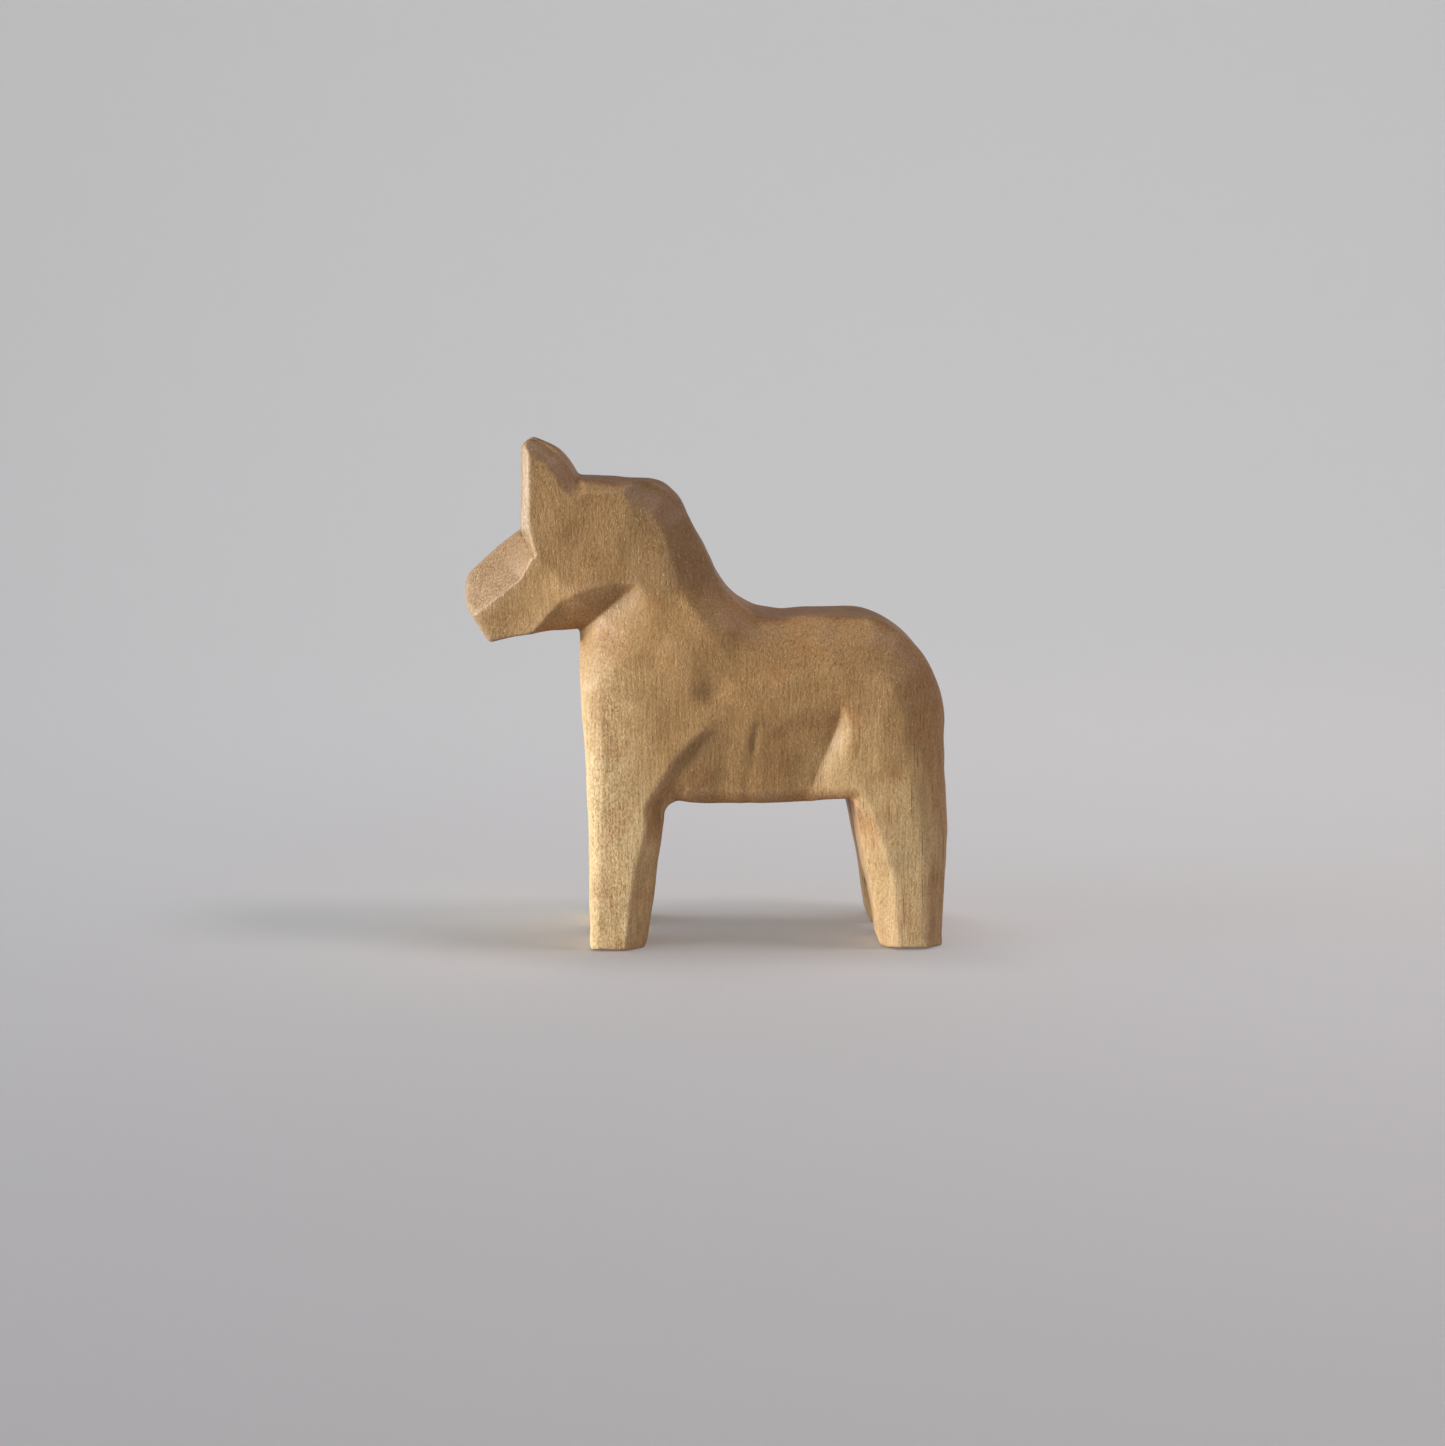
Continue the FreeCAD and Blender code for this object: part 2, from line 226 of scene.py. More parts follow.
# The muzzle's slice: the ridge where it starts, the line where it meets the cheek, and how steeply it stops.
BEVEL_RIDGE_HALF_WIDTH = 1.7
BEVEL_RIDGE = [(-27.1, 61.7), (-36.5, 53.4)]
BEVEL_END = [(-25.1, 58.5), (-27.2, 54.9), (-36.5, 47.4)]
PAST_RIDGE = [(-27.9, 62.8), (-37.5, 54.4)]
BEVEL_STOP = 0.3

# The cut under the jaw, and the neck that rises from the crease at its bottom.
CREASE = [(-18.4, 47.0), (-10.4, 54.2)]
JAW_CUT_START = [(-26.3, 46.0), (-24.3, 48.5), (-21.4, 51.8), (-17.3, 53.6), (-12.7, 54.6), (-10.4, 54.2)]
JAW_CUT_END = [(-24.0, 45.0), (-18.4, 47.0), (-10.4, 54.2)]
CREASE_DEPTH, CREASE_FADE = 3.7, 0.75
NECK_WALL_WIDTH, NECK_WALL_CURVE = 7.5, 1.8
CREASE_RUNS_OUT = (-0.5, 3.0)


def muzzle_bevel(x, z, side):
    """The slice down each side of the nose, from the ridge along its top; it stops at the brow."""
    from_ridge = distance_to(x, z, BEVEL_RIDGE)
    share = from_ridge / (from_ridge + distance_to(x, z, BEVEL_END) + TINY)
    sliced = BEVEL_RIDGE_HALF_WIDTH + (side - BEVEL_RIDGE_HALF_WIDTH) * share
    inside = depth_inside(x, z, PAST_RIDGE + BEVEL_END[::-1])
    return side + (sliced - side) * np.clip(inside / BEVEL_STOP, 0, 1)


def head_and_neck(x, z):
    """The head's side, the cut under the jaw, and the neck that rises from the crease below it."""
    (ax, az), (bx, bz) = CREASE
    length = math.hypot(bx - ax, bz - az)
    ux, uz = (bx - ax) / length, (bz - az) / length
    along = (x - ax) * ux + (z - az) * uz
    above = (z - az) * ux - (x - ax) * uz
    neck = body_side(x, z)
    head = np.minimum(head_side(x, z), neck)
    depth = CREASE_DEPTH * np.clip(1 - along / length, 0, 1) ** CREASE_FADE
    start, end = distance_to(x, z, JAW_CUT_START), distance_to(x, z, JAW_CUT_END)
    in_jaw_cut = depth_inside(x, z, JAW_CUT_START + JAW_CUT_END[::-1]) > 0
    jaw = head - np.where(in_jaw_cut, depth * start / (start + end + TINY), 0)
    jaw = muzzle_bevel(x, z, jaw)
    wall = np.clip(1 + above / NECK_WALL_WIDTH, 0, 1)
    throat = neck - (neck - head + depth) * wall**NECK_WALL_CURVE
    width = np.where(above > 0, jaw, throat)
    past_crease = smoothstep(along, length + CREASE_RUNS_OUT[0], length + CREASE_RUNS_OUT[1])
    return width + past_crease * (neck - width)


# Lines between the shoulder and the thigh, where one cut ends and the next one starts.
ARMPIT = [(-8.6, 21.5), (-6.6, 25.3), (-5.0, 27.9), (-3.0, 30.6), (-0.5, 33.2)]
BELLY_CREASE = [(5.0, 21.0), (5.3, 26.0), (6.7, 31.0), (6.9, 34.4)]
FLANK = [(14.0, 21.0), (14.9, 23.7), (16.1, 26.4), (17.1, 29.1), (18.3, 31.8), (19.3, 34.6)]
CUTS_DEEPEN_BELOW = 35.4

# The hollows before and behind the crease: the least depth, what is added for each millimetre down, and what
# is added for each millimetre back from a place along the horse.
FRONT_HOLLOW = (0.4, 0.085, 0.055, -4.0)
REAR_HOLLOW = (0.55, 0.075, 0.060, 7.0)
CREASE_RISE, CREASE_RISE_REACH = 0.55, (-4.5, -0.2)

# Where each wall starts and ends, from its own line; the flank's wall widens downwards and is curved.
ARMPIT_WALL = (-1.2, 2.0)
CREASE_WALL = (-0.4, 0.9)
FLANK_WALL, FLANK_WALL_WIDENING, FLANK_WALL_CURVE = 0.9, 0.52, 1.6
CUTS_FADE_UP = (38.0, 31.8)
CUTS_FADE_DOWN = (15.0, 21.5)


def behind(x, z, line):
    """How far each (x, z) is towards the rump from a line that runs upwards."""
    return x - np.interp(z, [point[1] for point in line], [point[0] for point in line])


def hollow_depth(x, below, hollow):
    least, for_each_down, for_each_back, start = hollow
    return least + for_each_down * below + for_each_back * np.maximum(x - start, 0)


def belly_cuts(x, z):
    """What the cuts between the shoulder and the thigh take off the half width."""
    from_crease = behind(x, z, BELLY_CREASE)
    from_flank = behind(x, z, FLANK)
    below = np.maximum(CUTS_DEEPEN_BELOW - z, 0)
    front = hollow_depth(x, below, FRONT_HOLLOW) - CREASE_RISE * smoothstep(from_crease, *CREASE_RISE_REACH)
    front = front * smoothstep(behind(x, z, ARMPIT), *ARMPIT_WALL)
    up_the_wall = np.clip(1 - from_flank / (FLANK_WALL + FLANK_WALL_WIDENING * below), 0, 1)
    curve = np.where(from_flank > 0, FLANK_WALL_CURVE, 1)
    rear = hollow_depth(x, below, REAR_HOLLOW) * up_the_wall**curve
    cut = front + (rear - front) * smoothstep(from_crease, *CREASE_WALL)
    return np.maximum(cut, 0) * smoothstep(z, *CUTS_FADE_UP) * smoothstep(z, *CUTS_FADE_DOWN)


# Small knife nicks: the line, and how wide and how deep it is.
NICKS = [
    ([(6.9, 33.4), (6.5, 30.2)], 0.9, 0.3),
    ([(-19.2, 46.9), (-18.3, 46.0)], 0.5, 0.5),
    ([(-27.2, 61.8), (-25.1, 58.5)], 0.3, 0.25),
]

# Broad shallow dents left by the knife: centre, radii and depth.
DENTS = [
    ((0.5, 38.4), (2.2, 1.7), 0.85),
    ((3.8, 37.0), (2.2, 1.4), 0.30),
    ((5.0, 41.5), (3.5, 2.5), 0.25),
    ((-12.5, 52.5), (2.2, 4.5), 0.20),
    ((-4.5, 50.0), (4.5, 3.0), 0.25),
    ((24.0, 43.0), (5.0, 3.5), 0.25),
    ((-20.0, 60.0), (4.0, 5.0), 0.15),
]


ROUNDING_SPAN = 0.96  # how much of a quarter circle a rounded edge covers


def edge_work(x, z, waver):
    """What the bevelled and rounded edges take off the half width."""
    taken = np.zeros_like(x)
    inside = depth_inside(x, z, OUTLINE) > 0
    for line, (width, last_width), (depth, last_depth), flatness in WORKED_EDGES:
        distance, along = nearest_on(x, z, line)
        distance = np.where(inside | (distance > width), distance, 0)
        width = width + (last_width - width) * along
        depth = depth + (last_depth - depth) * along
        outwards = 1 - np.clip(distance / (width * waver), 0, 1)
        rounded = 1 - np.sqrt(1 - (ROUNDING_SPAN * outwards) ** 2)
        taken = np.maximum(taken, depth * (flatness * outwards + (1 - flatness) * rounded))
    return taken


HEAD_ENDS_X, HEAD_STARTS_Z = 2.0, 36.0
BELLY_X, BELLY_ENDS_Z = (-10.0, 27.0), 40.0


def half_width(x, z, waver):
    """How far from the middle plane the carved sides are, at each (x, z)."""
    on_head = (x < HEAD_ENDS_X) & (z > HEAD_STARTS_Z)
    width = np.where(on_head, head_and_neck(x, z), body_side(x, z))
    on_belly = (x > BELLY_X[0]) & (x < BELLY_X[1]) & (z < BELLY_ENDS_Z)
    width = width - np.where(on_belly, belly_cuts(x, z), 0)
    taken = edge_work(x, z, waver)
    for start, end, depths in FLAT_CUTS:
        taken = np.maximum(taken, flat_cut(x, z, start, end, depths))
    for line, reach, depth in NICKS:
        taken = taken + depth * np.clip(1 - distance_to(x, z, line) / reach, 0, 1)
    for (cx, cz), (rx, rz), depth in DENTS:
        taken = taken + depth * np.exp(-(((x - cx) / rx) ** 2) - ((z - cz) / rz) ** 2)
    return width - taken


# ---------------------------------------------------------------- mesh work


def smooth_field(points, wavelength, seed, waves=40):
    """A smooth random field, about -1 to 1, made of plane waves."""
    rng = np.random.default_rng(seed)
    directions = rng.normal(size=(waves, 3))
    directions *= (2 * np.pi / wavelength) / np.linalg.norm(directions, axis=1, keepdims=True)
    directions *= rng.uniform(0.6, 1.4, (waves, 1))
    phases = rng.uniform(0, 2 * np.pi, waves)
    field = np.zeros(len(points))
    for direction, phase in zip(directions, phases):
        field += np.sin(points @ direction + phase)
    return field / math.sqrt(2 * waves)


def read_vectors(collection, name):
    values = np.empty(len(collection) * 3, np.float32)
    collection.foreach_get(name, values)
    return values.reshape(-1, 3).astype(np.float64)


def read_points(mesh):
    """Vertex places, in carving millimetres."""
    return (read_vectors(mesh.vertices, "co") - np.array(ORIGIN)) / MM


def write_points(mesh, points):
    mesh.vertices.foreach_set("co", (points * MM + np.array(ORIGIN)).ravel())
    mesh.update()


def apply_modifier(obj, kind, **settings):
    """Adds a modifier and keeps its result as the object's mesh."""
    modifier = obj.modifiers.new(kind.title(), kind)
    for name, value in settings.items():
        setattr(modifier, name, value)
    evaluated = obj.evaluated_get(bpy.context.evaluated_depsgraph_get())
    mesh = bpy.data.meshes.new_from_object(evaluated)
    obj.modifiers.clear()
    old = obj.data
    obj.data = mesh
    bpy.data.meshes.remove(old)


class Neighbours:
    """Each vertex's neighbours along mesh edges, for smoothing."""

    def __init__(self, mesh):
        edges = np.empty(len(mesh.edges) * 2, np.int32)
        mesh.edges.foreach_get("vertices", edges)
        self.a, self.b = edges.reshape(-1, 2).T
        self.size = len(mesh.vertices)
        self.count = np.bincount(self.a, minlength=self.size) + np.bincount(self.b, minlength=self.size)

    def mean(self, values):
        total = np.bincount(self.a, values[self.b], self.size)
        total += np.bincount(self.b, values[self.a], self.size)
        return total / self.count

    def smooth(self, points, rounds, weight):
        """Moves each vertex towards the middle of its neighbours, by a weight that may vary."""
        weight = np.broadcast_to(np.asarray(weight, float), self.size)[:, None]
        for _ in range(rounds):
            middle = np.stack([self.mean(points[:, i]) for i in range(3)], axis=1)
            points = points + weight * (middle - points)
        return points


COARSE_VOXEL, FINE_VOXEL = 0.35, 0.22
FACE_LIMIT = 190_000
EDGE_WAVER, EDGE_WAVER_LENGTH, EDGE_WAVER_SEED = 0.10, 14.0, 3

# Slight waves all over: height, wavelength and seed. They fade out just above the soles.
WAVES = [(0.18, 10.0, 11), (0.06, 4.5, 12)]
WAVES_START_Z = (0.0, 2.0)

HEAD_SOFTNESS, BACK_SOFTNESS, LEG_SOFTNESS = 0.18, 0.82, 0.45


def carve_sides(mesh, reach, least_facing):
    """Moves the sides onto the carved half width; whatever stands proud of it is cut back."""
    points = read_points(mesh)
    facing = read_vectors(mesh.vertex_normals, "vector")[:, 1] * np.sign(points[:, 1])
    waver = 1 + EDGE_WAVER * smooth_field(points * (1, 0, 1), EDGE_WAVER_LENGTH, EDGE_WAVER_SEED)
    width = half_width(points[:, 0], points[:, 2], waver)
    distance = np.abs(points[:, 1])
    onto = (facing > least_facing) & (np.abs(distance - width) < reach)
    distance = np.where(onto, width, np.minimum(distance, width))
    points[:, 1] = np.sign(points[:, 1]) * distance
    write_points(mesh, points)


def softness(x, z):
    """How much each part is rubbed smooth: little on the head, most on the back and rump."""
    body = smoothstep(x, -14.0, -6.0) * smoothstep(z, 33.0, 38.0)
    body = np.maximum(body, smoothstep(x, 24.0, 28.0) * smoothstep(z, 16.0, 26.0))
    return np.maximum(HEAD_SOFTNESS + BACK_SOFTNESS * body, LEG_SOFTNESS * smoothstep(z, 20.0, 15.0))


def carve_horse():
    """The visible horse: the CAD block, carved."""
    horse = bpy.data.objects.new("horse_carving", frame["nodes"][NODE].data.copy())
    bpy.context.scene.collection.objects.link(horse)
    apply_modifier(horse, "REMESH", mode="VOXEL", voxel_size=COARSE_VOXEL * MM)
    carve_sides(horse.data, reach=3.0, least_facing=0.6)
    apply_modifier(horse, "REMESH", mode="VOXEL", voxel_size=FINE_VOXEL * MM)
    neighbours = Neighbours(horse.data)
    write_points(horse.data, neighbours.smooth(read_points(horse.data), rounds=4, weight=0.6))
    carve_sides(horse.data, reach=0.5, least_facing=0.35)
    points = neighbours.smooth(read_points(horse.data), rounds=2, weight=0.5)
    rubbing = 0.6 * softness(points[:, 0], points[:, 2])
    points = neighbours.smooth(points, rounds=12, weight=rubbing)
    write_points(horse.data, points)
    normals = read_vectors(horse.data.vertex_normals, "vector")
    waves = sum(height * smooth_field(points, length, seed) for height, length, seed in WAVES)
    waves = waves * smoothstep(points[:, 2], *WAVES_START_Z)
    write_points(horse.data, points + normals * waves[:, None])
    triangles = 2 * len(horse.data.polygons)
    apply_modifier(horse, "DECIMATE", ratio=FACE_LIMIT / triangles)
    mark_hollows(horse.data)
    horse.data.shade_smooth()
    return horse


def mark_hollows(mesh):
    """Stores how hollow the surface is at each vertex, in millimetres; on edges it is below 0."""
    points = read_points(mesh)
    normals = read_vectors(mesh.vertex_normals, "vector")
    rubbed = Neighbours(mesh).smooth(points, rounds=40, weight=0.7)
    hollow = ((rubbed - points) * normals).sum(axis=1)
    layer = mesh.attributes.new("hollow", "FLOAT", "POINT")
    layer.data.foreach_set("value", hollow.astype(np.float32))


# ---------------------------------------------------------------- materials


DASH_CORE = 0.35  # the share of a dash's size that is at full strength


class Nodes:
    """A new material's node tree, with short calls for the nodes that the looks are built from."""

    def __init__(self, name):
        self.material = bpy.data.materials.new(name)
        self.material.use_nodes = True
        self.tree = self.material.node_tree
        self.shader = self.tree.nodes["Principled BSDF"]

    def add(self, kind, settings=(), **sockets):
        """Adds a node; each socket, by name or as i and its number, is given a value or a node's output."""
        node = self.tree.nodes.new(kind)
        for name, value in dict(settings).items():
            setattr(node, name, value)
        for name, value in sockets.items():
            key = int(name[1:]) if name[0] == "i" and name[1:].isdigit() else name.replace("_", " ")
            if isinstance(value, bpy.types.NodeSocket):
                self.tree.links.new(value, node.inputs[key])
            else:
                node.inputs[key].default_value = value
        return node

    def calc(self, operation, *values):
        sockets = {f"i{i}": value for i, value in enumerate(values)}
        return self.add("ShaderNodeMath", dict(operation=operation), **sockets).outputs[0]

    def times(self, a, b):
        return self.calc("MULTIPLY", a, b)

    def step(self, value, start, end, low=0.0, high=1.0):
        """A smooth step from low to high, as value goes from start to end."""
        sockets = dict(Value=value, From_Min=start, From_Max=end, To_Min=low, To_Max=high)
        node = self.add("ShaderNodeMapRange", dict(interpolation_type="SMOOTHSTEP"), **sockets)
        return node.outputs["Result"]

    def zone(self, *steps):
        """The product of several smooth steps, each given as the arguments of step."""
        product = self.step(*steps[0])
        for step in steps[1:]:
            product = self.times(product, self.step(*step))
        return product

    def mix(self, factor, a, b, blend="MIX"):
        settings = dict(data_type="RGBA", blend_type=blend)
        return self.add("ShaderNodeMix", settings, i0=factor, i6=a, i7=b).outputs[2]

    def grain_coordinates(self, scale):
        """Object coordinates in carving millimetres, times a scale for each axis."""
        place = self.add("ShaderNodeTexCoord").outputs["Object"]
        whole = tuple(s / MM for s in scale)
        return self.add("ShaderNodeVectorMath", dict(operation="MULTIPLY"), i0=place, i1=whole).outputs[0]

    def noise(self, scale, detail=2.0, roughness=0.5):
        sockets = dict(i0=self.grain_coordinates(scale), Scale=1.0, Detail=detail, Roughness=roughness)
        return self.add("ShaderNodeTexNoise", **sockets).outputs["Fac"]

    def dashes(self, scale, size, share):
        """Scattered spindle-shaped marks along the grain, 1 in their middle; share of the cells have one."""
        cells = self.add("ShaderNodeTexVoronoi", i0=self.grain_coordinates(scale), Scale=1.0)
        chance = self.add("ShaderNodeSeparateColor", i0=cells.outputs["Color"]).outputs[0]
        marks = self.step(cells.outputs["Distance"], size, size * DASH_CORE)
        return self.times(marks, self.calc("LESS_THAN", chance, share))


# Pale wood; it is also laid on the flank's wall as painted light.
PALE_AND_LIT = (0.655, 0.455, 0.222, 1)
BROWN = (0.420, 0.238, 0.086, 1)
END_GRAIN = (0.265, 0.128, 0.052, 1)
# Pores; the same dark colour is laid in the hollows as painted shade.
PORE_AND_SHADE = (0.150, 0.075, 0.032, 1)
# Pale flecks, partly painted glints.
FLECK_AND_GLINT = (0.760, 0.580, 0.400, 1)
# Russet: the wood's own mottle, and painted shade on surfaces facing the rump and surfaces facing down, and
# in the groin.
RUSSET_AND_SHADE = (0.395, 0.178, 0.056, 1)
PINKISH = (0.470, 0.315, 0.185, 1)

# How strongly the grain changes each channel.
GRAIN_CONTRAST = {"Red": 0.8, "Green": 1.0, "Blue": 1.35}


class WoodSurface:
    """Each point of the wood: where it is, in carving millimetres, which way it faces, and its grain."""

    def __init__(self, nodes):
        place = nodes.add("ShaderNodeSeparateXYZ", i0=nodes.grain_coordinates((1, 1, 1))).outputs
        self.along, self.across, self.height = place["X"], place["Y"], place["Z"]
        normal = nodes.add("ShaderNodeTexCoord").outputs["Normal"]
        facing = nodes.add("ShaderNodeSeparateXYZ", i0=normal).outputs
        self.facing_rear, self.facing_up = facing["X"], facing["Z"]
        self.lean = nodes.calc("ABSOLUTE", self.facing_up)
        self.patch = nodes.calc("SUBTRACT", nodes.noise((0.09, 0.09, 0.06), 2.0), 0.5)
        self.fibres = nodes.noise((2.7, 2.7, 0.16), 3.0, 0.6)
        self.speckle = nodes.noise((3.3, 3.3, 2.2), 1.0, 0.7)
        self.flecks_and_glints = nodes.dashes((3.4, 3.4, 1.5), 0.34, 0.30)
        self.pores = short_and_long_pores(nodes)
        self.front = nodes.zone((self.along, -15.0, -9.0, 1.0, 0.0), (self.height, 50.0, 46.0))
        self.muzzle_slice = nodes.zone((self.along, -24.0, -27.0), (self.lean, 0.20, 0.35))


def short_and_long_pores(nodes):
    """Fine dark marks along the grain, thicker in some places than in others."""
    short = nodes.times(nodes.dashes((3.2, 3.2, 0.34), 0.28, 0.22), 0.60)
    long = nodes.times(nodes.dashes((2.8, 2.8, 0.10), 0.17, 0.40), 0.60)
    clusters = nodes.step(nodes.noise((0.35, 0.35, 0.08), 2.0), 0.35, 0.60, 0.35, 1.0)
    return nodes.times(nodes.calc("MAXIMUM", short, long), clusters)


def pale_parts(nodes, spot):
    """Where the wood is pale: the chest, and the legs up to a ragged edge; the far hind leg is kept browner,
    as painted shade.
    """
    # Painted shade: the hind leg is less pale on the far side.
    near_hind = nodes.zone((spot.along, 13.0, 20.0), (spot.across, 1.0, 5.0, 1.0, 0.4))
    legs = nodes.calc("MAXIMUM", nodes.step(spot.along, -9.0, -3.0, 1.0, 0.0), near_hind)
    ragged_height = nodes.calc("ADD", spot.height, nodes.times(spot.patch, 14.0))
    low = nodes.step(ragged_height, 14.0, 36.0, 1.0, 0.0)
    chest = nodes.zone((spot.along, -16.0, -6.0, 1.0, 0.0), (spot.height, 30.0, 50.0, 1.0, 0.0))
    return nodes.calc("MAXIMUM", nodes.times(low, legs), chest)


def stains_and_painted_light(nodes, spot):
    """What tints the bare wood, with painted shade and painted light among the tints, in order: how strongly
    each place takes it, and its colour.
    """
    oblique = nodes.calc("ADD", spot.lean, nodes.times(spot.patch, 0.30))
    bands = nodes.noise((0.55, 0.30, 0.03), 3.0)
    mottle = nodes.noise((0.20, 0.20, 0.16), 3.0, 0.6)
    # Painted shade in the groin, where the top of the hind leg faces forward.
    groin_shade = nodes.zone(
        (spot.along, 13.0, 18.0),
        (spot.height, 12.0, 21.0, 0.25, 0.75),
        (spot.height, 24.0, 28.0, 1.0, 0.15),
        (spot.facing_rear, -0.30, -0.65),
    )
    # Painted light on the flank's wall, where it faces forward.
    lit_flank_wall = nodes.zone(
        (spot.along, 7.0, 10.0),
        (spot.height, 24.0, 28.0),
        (spot.facing_rear, -0.15, -0.45, 0.0, 0.30),
    )
    return [
        (nodes.step(oblique, 0.74, 0.95), END_GRAIN),
        (nodes.step(bands, 0.35, 0.75, 0.0, 0.30), BROWN),
        (nodes.step(mottle, 0.48, 0.70, 0.0, 0.45), RUSSET_AND_SHADE),
        # Painted shade: surfaces facing the rump and surfaces facing down are tinted russet.
        (nodes.step(spot.facing_rear, 0.15, 0.75, 0.0, 0.60), RUSSET_AND_SHADE),
        (nodes.step(spot.facing_up, -0.10, -0.65, 0.0, 0.60), RUSSET_AND_SHADE),
        (groin_shade, RUSSET_AND_SHADE),
        (lit_flank_wall, PALE_AND_LIT),
        (nodes.times(spot.muzzle_slice, 0.50), PINKISH),
    ]


def brightness(nodes, spot):
    """How bright the wood is: darker towards the ears and nose, and on the nape, haunch and belly."""
    nape = nodes.zone((spot.along, -15.0, -9.0), (spot.height, 50.0, 56.0))
    haunch = nodes.zone((spot.along, 17.0, 24.0), (spot.height, 33.0, 38.0))
    belly = nodes.zone((spot.along, -7.0, -4.0), (spot.along, 8.0, 4.0), (spot.height, 34.0, 30.0))
    return nodes.zone(
        (spot.height, 46.0, 72.0, 0.93, 0.75),
        (nape, 0.0, 1.0, 1.0, 0.78),
        (spot.along, -23.0, -29.0, 1.0, 0.80),
        (nodes.calc("MAXIMUM", haunch, belly), 0.0, 1.0, 1.0, 0.88),
    )


def grain_glints_and_brightness(nodes, spot):
    """What the colour is multiplied by: the grain's fibres and speckle, the speckle strongest on the chest
    and the muzzle slice as painted glints, and the brightness.
    """
    # Painted glints: the speckle is strengthened on the chest and the muzzle slice, less on faces turned
    # straight forward.
    chest_and_muzzle = nodes.calc("MAXIMUM", spot.front, spot.muzzle_slice)
    painted_glints = nodes.times(chest_and_muzzle, nodes.step(spot.facing_rear, -0.9, -0.4))
    strength = nodes.step(painted_glints, 0.0, 1.0, 0.9, 1.7)
    grain = nodes.times(nodes.calc("SUBTRACT", spot.speckle, 0.5), strength)
    grain = nodes.calc("ADD", grain, nodes.calc("SUBTRACT", spot.fibres, 0.5))
    bright = brightness(nodes, spot)
    channels = {}
    for channel, contrast in GRAIN_CONTRAST.items():
        channels[channel] = nodes.times(nodes.calc("MULTIPLY_ADD", grain, contrast, 1.0), bright)
    return nodes.add("ShaderNodeCombineColor", **channels).outputs[0]


def marks(nodes, spot):
    """Small marks over the tinted wood, with painted glints among the flecks and painted shade in the
    hollows, in order: how strongly they show, and their colour.
    """
    hairlines = nodes.dashes((2.2, 2.2, 0.08), 0.30, 0.50)
    hairlines = nodes.times(hairlines, nodes.step(spot.along, 9.0, 16.0, 0.10, 0.70))
    dots = nodes.step(nodes.noise((3.5, 3.5, 3.5), 3.0, 0.6), 0.60, 0.42)
    end_grain_dots = nodes.times(dots, nodes.step(spot.lean, 0.15, 0.5))
    hollow = nodes.add("ShaderNodeAttribute", dict(attribute_name="hollow")).outputs["Fac"]
    return [
        (spot.pores, PORE_AND_SHADE),
        (hairlines, PORE_AND_SHADE),
        # Pale flecks, partly painted glints.
        (nodes.times(spot.flecks_and_glints, 0.40), FLECK_AND_GLINT),
        (nodes.times(end_grain_dots, 0.35), PORE_AND_SHADE),
        # Painted shade: the hollows and creases are darkened with the pores' colour.
        (nodes.step(hollow, 0.01, 0.14, 0.0, 0.22), PORE_AND_SHADE),
        # Edges are made a little lighter.
        (nodes.step(hollow, -0.02, -0.20, 0.0, 0.07), FLECK_AND_GLINT),
    ]


def satin_finish(nodes, spot):
    """A thin satin finish: dull where the wood leans and on the chest, and raised a little with the grain."""
    shader = nodes.shader
    rough = nodes.step(spot.speckle, 0.25, 0.75, 0.42, 0.64)
    rough = nodes.calc("SUBTRACT", rough, nodes.times(spot.flecks_and_glints, 0.12))
    rough = nodes.calc("ADD", rough, nodes.times(spot.front, 0.12))
    nodes.tree.links.new(rough, shader.inputs["Roughness"])
    shader.inputs["Coat Weight"].default_value = 0.05
    shader.inputs["Coat Roughness"].default_value = 0.30
    nodes.tree.links.new(nodes.step(spot.lean, 0.5, 0.9, 0.50, 0.08), shader.inputs["Specular IOR Level"])
    raised = nodes.times(spot.fibres, 0.06)
    for texture, height in ((spot.speckle, 0.09), (spot.pores, -0.05), (spot.flecks_and_glints, 0.02)):
        raised = nodes.calc("ADD", raised, nodes.times(texture, height))
    bump = nodes.add("ShaderNodeBump", Strength=0.8, Distance=MM, Height=raised)
    nodes.tree.links.new(bump.outputs[0], shader.inputs["Normal"])


def wood():
    """Plain light wood with its grain upright, under a clear satin finish."""
    nodes = Nodes("wood")
    spot = WoodSurface(nodes)
    colour = nodes.mix(pale_parts(nodes, spot), BROWN, PALE_AND_LIT)
    for strength, tint_colour in stains_and_painted_light(nodes, spot):
        colour = nodes.mix(strength, colour, tint_colour)
    colour = nodes.mix(1.0, colour, grain_glints_and_brightness(nodes, spot), "MULTIPLY")
    for strength, mark in marks(nodes, spot):
        colour = nodes.mix(strength, colour, mark)
    nodes.tree.links.new(colour, nodes.shader.inputs["Base Color"])
    satin_finish(nodes, spot)
    return nodes.material


def paper():
    """Matt white paper, faintly aglow: the light of a bright room comes through the cove's walls."""
    nodes = Nodes("paper")
    for name, value in {
        "Base Color": (0.60, 0.60, 0.60, 1),
        "Roughness": 0.9,
        "Specular IOR Level": 0.1,
        "Emission Color": (1.0, 0.94, 0.89, 1),
        "Emission Strength": 0.150,
    }.items():
        nodes.shader.inputs[name].default_value = value
    return nodes.material


# ---------------------------------------------------------------- the set


COVE_FLAT, COVE_BEND, COVE_TOP = 0.30, 0.60, 0.9
COVE_FLAT_STEPS, COVE_BEND_STEPS, COVE_TURNS = 4, 16, 96


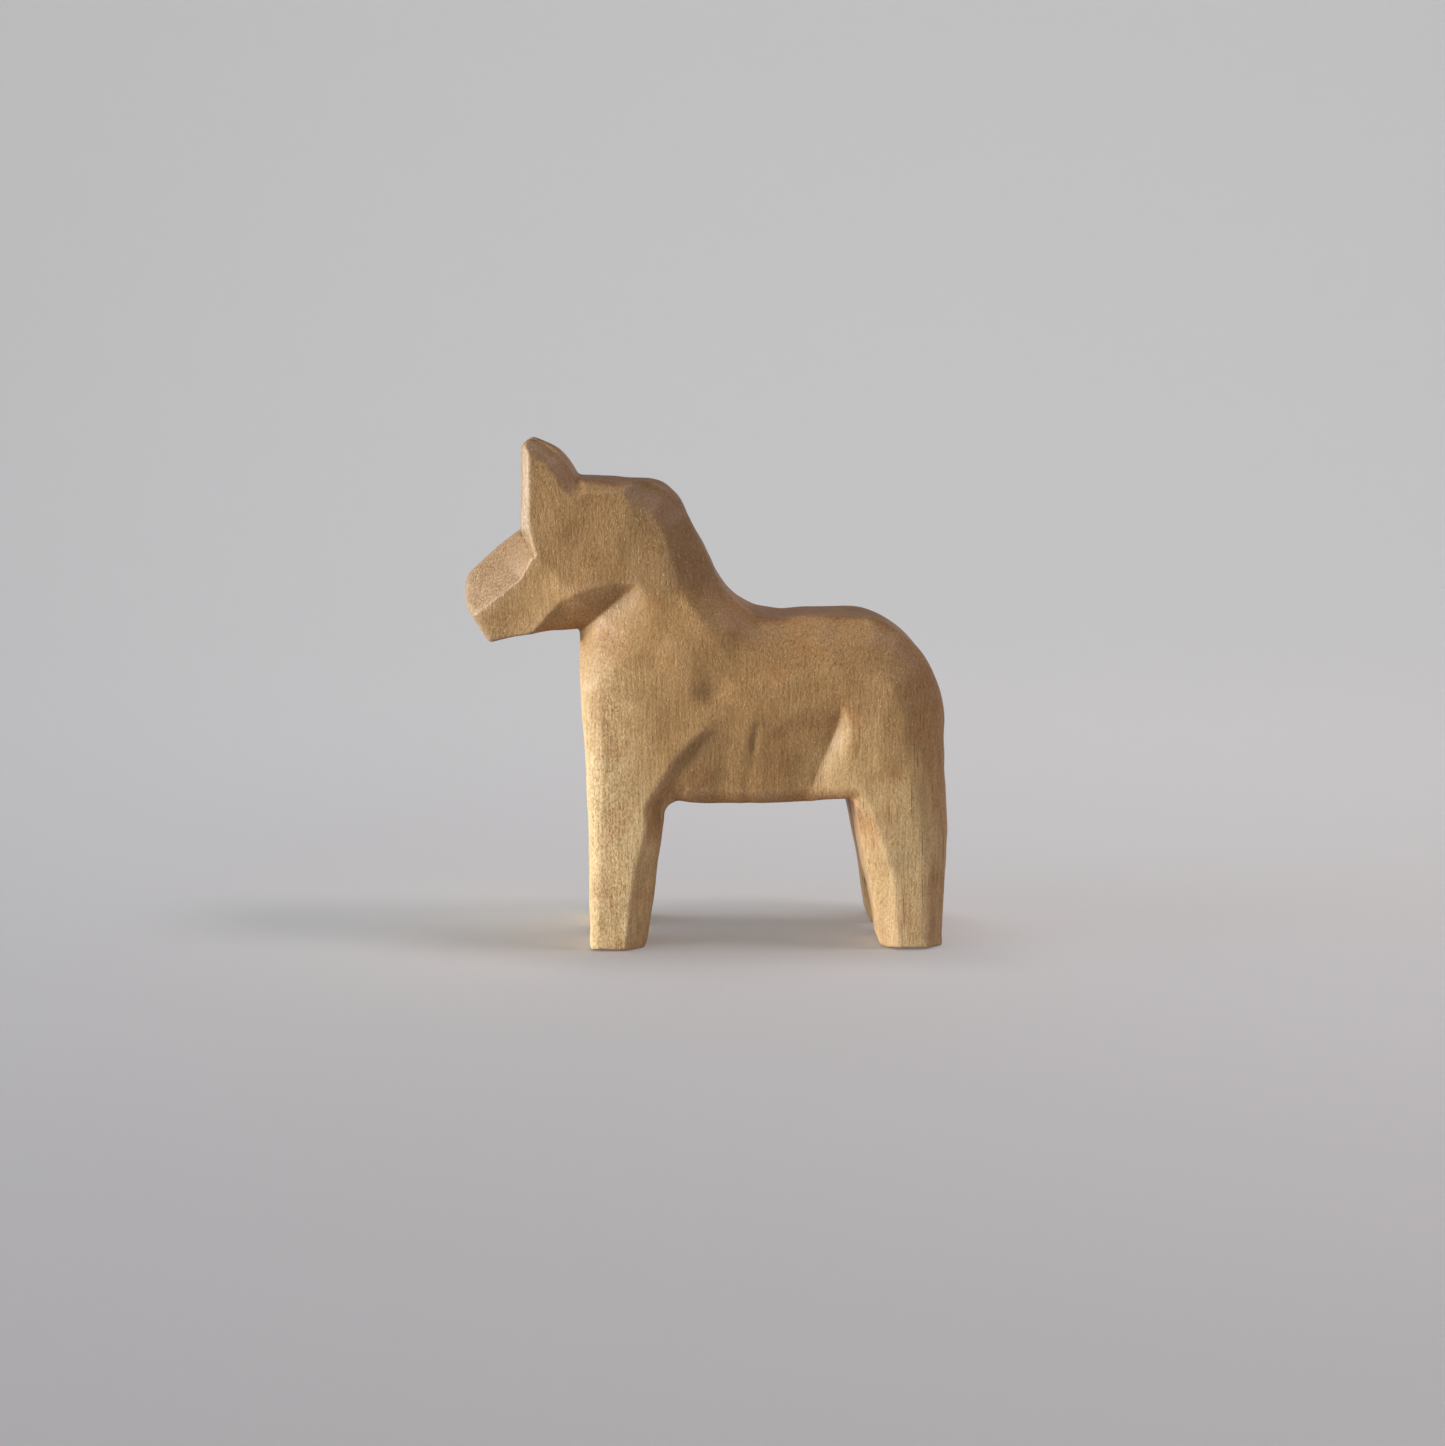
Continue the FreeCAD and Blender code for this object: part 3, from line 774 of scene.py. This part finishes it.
def paper_cove(material):
    """A round paper cove: flat under the horse, curving up to a wall all the way round."""
    profile = [(COVE_FLAT * i / COVE_FLAT_STEPS, 0.0) for i in range(COVE_FLAT_STEPS + 1)]
    for i in range(1, COVE_BEND_STEPS + 1):
        angle = math.pi / 2 * i / COVE_BEND_STEPS
        profile.append((COVE_FLAT + COVE_BEND * math.sin(angle), COVE_BEND * (1 - math.cos(angle))))
    profile.append((COVE_FLAT + COVE_BEND, COVE_TOP))
    verts, faces = [], []
    for radius, height in profile:
        for k in range(COVE_TURNS):
            angle = 2 * math.pi * k / COVE_TURNS
            verts.append((radius * math.cos(angle), radius * math.sin(angle), height))
    for i in range(len(profile) - 1):
        for k in range(COVE_TURNS):
            a, b = i * COVE_TURNS + k, i * COVE_TURNS + (k + 1) % COVE_TURNS
            faces.append((a, b, b + COVE_TURNS, a + COVE_TURNS))
    mesh = bpy.data.meshes.new("paper_cove")
    mesh.from_pydata(verts, [], faces)
    mesh.validate()
    cove = bpy.data.objects.new("paper_cove", mesh)
    bpy.context.scene.collection.objects.link(cove)
    cove.data.materials.append(material)
    cove.data.shade_smooth()


# Area lights, in metres and watts: name, place, the point that each faces, width and height, power, colour.
ROOM_LIGHTS = [
    ("window", (-0.62, -0.10, 0.12), (0, 0, 0.03), (0.40, 0.20), 1.8, (0.45, 0.70, 1.0)),
    ("lamp", (0.22, -0.05, 0.42), (0, 0, 0.02), (0.08, 0.08), 0.42, (1.0, 0.84, 0.86)),
    ("wall_wash", (0.0, 0.10, 0.66), (0.3, 0.9, 0.12), (0.5, 0.2), 2.5, (0.98, 1.0, 1.03)),
]
# These shine on the horse alone.
KEY_LIGHTS = [
    ("key_15", (-0.60, -0.16, 0.10), (0, 0, 0.03), (0.22, 0.22), 9.7, (1, 0.98, 0.93)),
    ("key_45", (-0.44, -0.44, 0.10), (0, 0, 0.03), (0.22, 0.22), 1.45, (1, 0.97, 0.93)),
]


def area_light(name, place, target, size, power, colour):
    light = bpy.data.lights.new(name, "AREA")
    light.shape = "RECTANGLE"
    light.size, light.size_y = size
    light.energy = power
    light.color = colour
    lamp = bpy.data.objects.new(name, light)
    lamp.location = place
    lamp.rotation_euler = (Vector(target) - Vector(place)).to_track_quat("-Z", "Y").to_euler()
    lamp.visible_camera = False
    bpy.context.scene.collection.objects.link(lamp)
    return lamp


def only_on(piece, lamp):
    """Keeps a light off the paper, as a flag does."""
    group = bpy.data.collections.new(lamp.name + "_subjects")
    group.objects.link(piece)
    lamp.light_linking.receiver_collection = group


# The photograph's view: the angle, and how far off the camera is and what it faces, in carving millimetres.
VIEW_AZIMUTH, VIEW_ELEVATION = math.radians(-2.2), math.radians(9.5)
VIEW_DISTANCE = 354.5
VIEW_TARGET = (2.52, 0.0, 32.1)
SENSOR_WIDTH, LENS = 36.0, 58.55


def camera():
    back = Vector((
        math.sin(VIEW_AZIMUTH) * math.cos(VIEW_ELEVATION),
        -math.cos(VIEW_AZIMUTH) * math.cos(VIEW_ELEVATION),
        math.sin(VIEW_ELEVATION),
    ))
    data = bpy.data.cameras.new("camera")
    data.sensor_fit = "HORIZONTAL"
    data.sensor_width = SENSOR_WIDTH
    data.lens = LENS
    data.clip_start = 0.01
    obj = bpy.data.objects.new("camera", data)
    obj.location = Vector(VIEW_TARGET) * MM + back * (VIEW_DISTANCE * MM)
    obj.rotation_euler = (-back).to_track_quat("-Z", "Y").to_euler()
    bpy.context.scene.collection.objects.link(obj)
    bpy.context.scene.camera = obj


def world():
    """A faint even light from the rest of the room."""
    room = bpy.data.worlds.new("soft_room")
    bpy.context.scene.world = room
    room.use_nodes = True
    background = room.node_tree.nodes["Background"]
    background.inputs["Color"].default_value = (0.95, 0.97, 1.0, 1)
    background.inputs["Strength"].default_value = 0.03


horse = carve_horse()
horse.data.materials.clear()
horse.data.materials.append(wood())
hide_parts(NODE)
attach(horse, "root")
paper_cove(paper())
for settings in ROOM_LIGHTS:
    area_light(*settings)
for settings in KEY_LIGHTS:
    only_on(horse, area_light(*settings))
world()
camera()
bpy.context.scene.view_settings.view_transform = "Standard"
